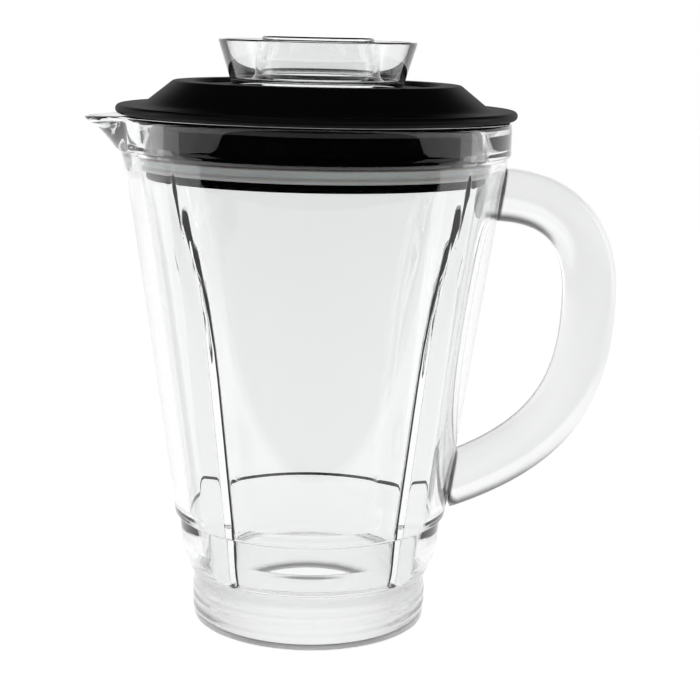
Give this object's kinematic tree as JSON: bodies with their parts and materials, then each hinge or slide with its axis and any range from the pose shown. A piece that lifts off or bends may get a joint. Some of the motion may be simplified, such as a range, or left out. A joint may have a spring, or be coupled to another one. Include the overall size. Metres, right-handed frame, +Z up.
{
  "type": "countertop blender jar",
  "caption": "Clear glass blender jar with a D-shaped handle, pouring spout, inner ribs and open threaded foot, closed by a push-in lid with a soft seal and a lift-out filler cap.",
  "frame": {"origin": "middle of the underside of the whole object: level with the foot's lower face, midway between the handle's outermost point and the spout's lip. The jar's own axis is the vertical line at X = -0.01495 m", "axes": "+Z up along the jar's axis, +X from the jar towards the handle, +Y across the jar; the spout points along -X"},
  "size_m": [0.2006, 0.1476, 0.2206],
  "materials": {
    "jar_glass": "clear pressed soda-lime glass, fire-polished",
    "handle_glass": "clear solid glass bar, slightly milky from its thickness",
    "lid_plastic": "black moulded polypropylene, satin",
    "seal_silicone": "translucent grey silicone",
    "cap_plastic": null
  },
  "bodies": {
    "jar": {"jar_body": "jar_glass", "handle": "handle_glass"},
    "lid": {"lid_body": "lid_plastic", "lid_seal": "seal_silicone"},
    "cap": {"filler_cap": "cap_plastic"}
  },
  "joints": [
    {"name": "lid_lift", "type": "slide", "parent": "jar", "child": "lid", "axis": [0, 0, 1], "range_m": [0, 0.06]},
    {"name": "cap_lift", "type": "slide", "parent": "lid", "child": "cap", "axis": [0, 0, 1], "range_m": [0, 0.04]}
  ]
}
